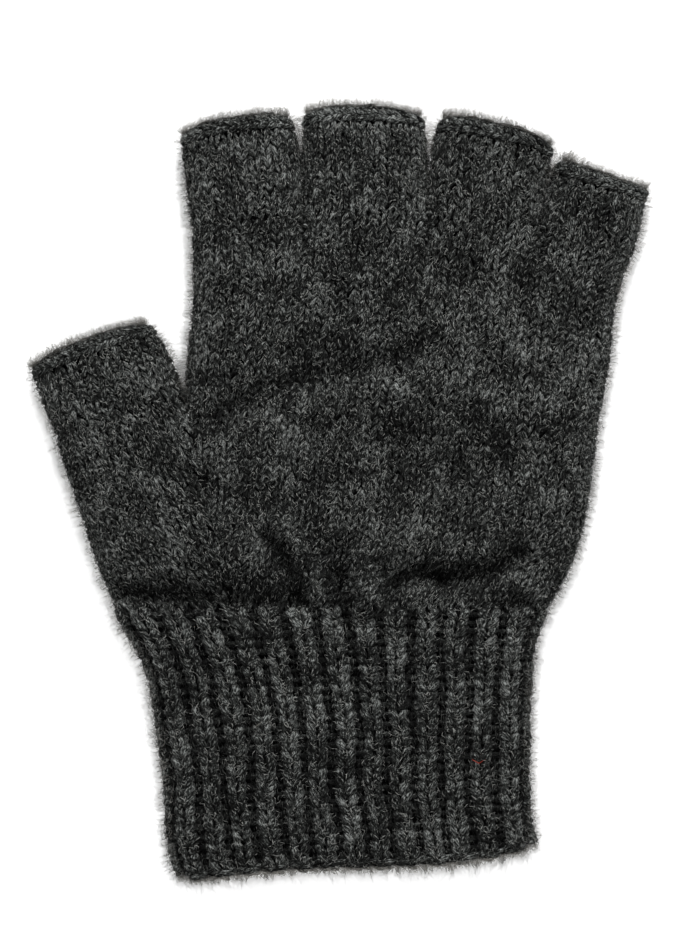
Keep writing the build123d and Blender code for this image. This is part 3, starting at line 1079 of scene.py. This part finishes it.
def haze(body):
    """Long fibres that stand out from a part's two rims and its open end."""
    tube, parts = tubes[body], []
    count = round(tube["length"] * HAZE)
    for rim in (0.0, 0.5):
        turns = rim + random.normal(0, 1.0, count) / tube["girth"].mean()
        rises = random.uniform(0, 1, count)
        stays = kept(body, wrap(tube, turns, rises, np.zeros(count))[:, :2])
        turns, rises = turns[stays], rises[stays]
        number = len(turns)
        # The slit marks where the fibres are shorter, and darkened with painted shade.
        slit = (rises < SLIT) & (body in FINGERS) & (STALL_EASE.get(body, (0, 0))[round(2 * rim)] > 0.7)
        # The haze's tones are pale: partly the wool's own pale fibres, partly painted light shining through them.
        tone = random.uniform(0.5, 1.2, number) - 0.7 * slit
        long = np.minimum(1.5 + random.gamma(2.0, 1.0, number), LONGEST) * np.where(slit, 0.5, 1)
        heading = random.uniform(0, 2 * pi, number)
        stand = random.normal(0.95, 0.35, number)
        parts.append(scatter(body, turns, rises, long, stand, heading, tone, fine=HAIR))
    if body not in ("hand", "gusset"):
        count = round(tube["girth"].mean() * HAZE)
        end, way = (0.0, -pi / 2) if body == "cuff" else (1.0, pi / 2)
        parts.append(scatter(
            body, random.uniform(0, 1, count), np.full(count, end),
            np.minimum(1.7 + random.gamma(2.0, 0.9, count), LONGEST),
            random.normal(0.2, 0.4, count), way + random.normal(0, 0.6, count),
            random.uniform(0.5, 1.2, count), start=0.1, fine=HAIR))
    fasten(piece(f"{body}_haze", joined(parts), haze_wool), body)


for body in tubes:
    haze(body)

# %% [markdown]
# Wool is never quite clean of strangers: a rust-red fibre has been caught in the cuff, an undyed one lies
# across its ribs, and a pale speck sits in the hand.

# %% Catch a few stray fibres
STRAY_OUT, STRAY_THICK = 1.4, 1.8  # a stray lies over the fuzz, and is thicker than it
red_wool = wool("rust red wool fibre", [(0.3, "#5e1a14"), (0.7, "#a8402f")], tone_share=0.0, bump=0.0)
undyed_wool = wool("undyed wool fibre", [(0.3, "#77756d"), (0.7, "#c9c5b8")], tone_share=0.0, bump=0.0)


def stray(name, body, finish, turn, rise, length, heading):
    """One thick fibre on a tube."""
    facts = [np.array([value]) for value in (turn, rise, length, 0.05, heading, 0.5)]
    made = scatter(body, *facts, start=STRAY_OUT, fine=STRAY_THICK)
    fasten(piece(name, made, finish), body)


stray("red_fibre", "cuff", red_wool, 0.4205, 0.39, 3.2, 0.05)
stray("undyed_fibre", "cuff", undyed_wool, 0.135, 0.555, 4.4, -0.9)
stray("pale_speck", "hand", undyed_wool, 0.383, 0.69, 0.7, 0.3)

# %% [markdown]
# ## Floor, light and camera
#
# A white sheet, one large soft light over the fingertips and light from all round. The camera looks straight
# down, from a metre up, on a frame a little larger than the glove.

# %% Floor
bpy.ops.mesh.primitive_plane_add(size=6, location=(0, 0, -0.0005))
floor = bpy.context.object
floor.name = "floor"
paper = bpy.data.materials.new("matt white paper")
paper.use_nodes = True
tree = paper.node_tree
tree.nodes.clear()
shader = add(tree, "ShaderNodeBsdfPrincipled", inputs={
    "Base Color": linear("#f4f4f4"), "Roughness": 0.9, "Specular IOR Level": 0.2,
    "Emission Color": (1, 1, 1, 1), "Emission Strength": 0.8,
})
add(tree, "ShaderNodeOutputMaterial", inputs={"Surface": shader.outputs["BSDF"]})
floor.data.materials.append(paper)

# %% Light
world = bpy.data.worlds.new("soft studio")
world.use_nodes = True
sky = world.node_tree.nodes["Background"].inputs
sky["Color"].default_value = (1, 1, 1, 1)
sky["Strength"].default_value = 0.36
bpy.context.scene.world = world
bpy.ops.object.light_add(type="AREA", location=(0.1, 1.0, 0.75))
lamp = bpy.context.object
lamp.data.shape = "DISK"
lamp.data.size = 0.7
lamp.data.energy = 18
lamp.rotation_euler = (Vector((0, 0, 0)) - lamp.location).to_track_quat("-Z", "Y").to_euler()

# %% Camera
VIEW_MIDDLE = (-0.53, 4.73)  # in plan
VIEW_HEIGHT = 231.7  # of the picture, where the glove lies
DISTANCE = 1000.0
eye = bpy.data.cameras.new("camera")
eye.sensor_width = 36
eye.lens = eye.sensor_width * DISTANCE / VIEW_HEIGHT
camera = bpy.data.objects.new("camera", eye)
camera.location = (VIEW_MIDDLE[0] * MM, VIEW_MIDDLE[1] * MM, (DISTANCE + LOFT) * MM)
bpy.context.scene.collection.objects.link(camera)
bpy.context.scene.camera = camera
bpy.context.scene.view_settings.view_transform = "Standard"
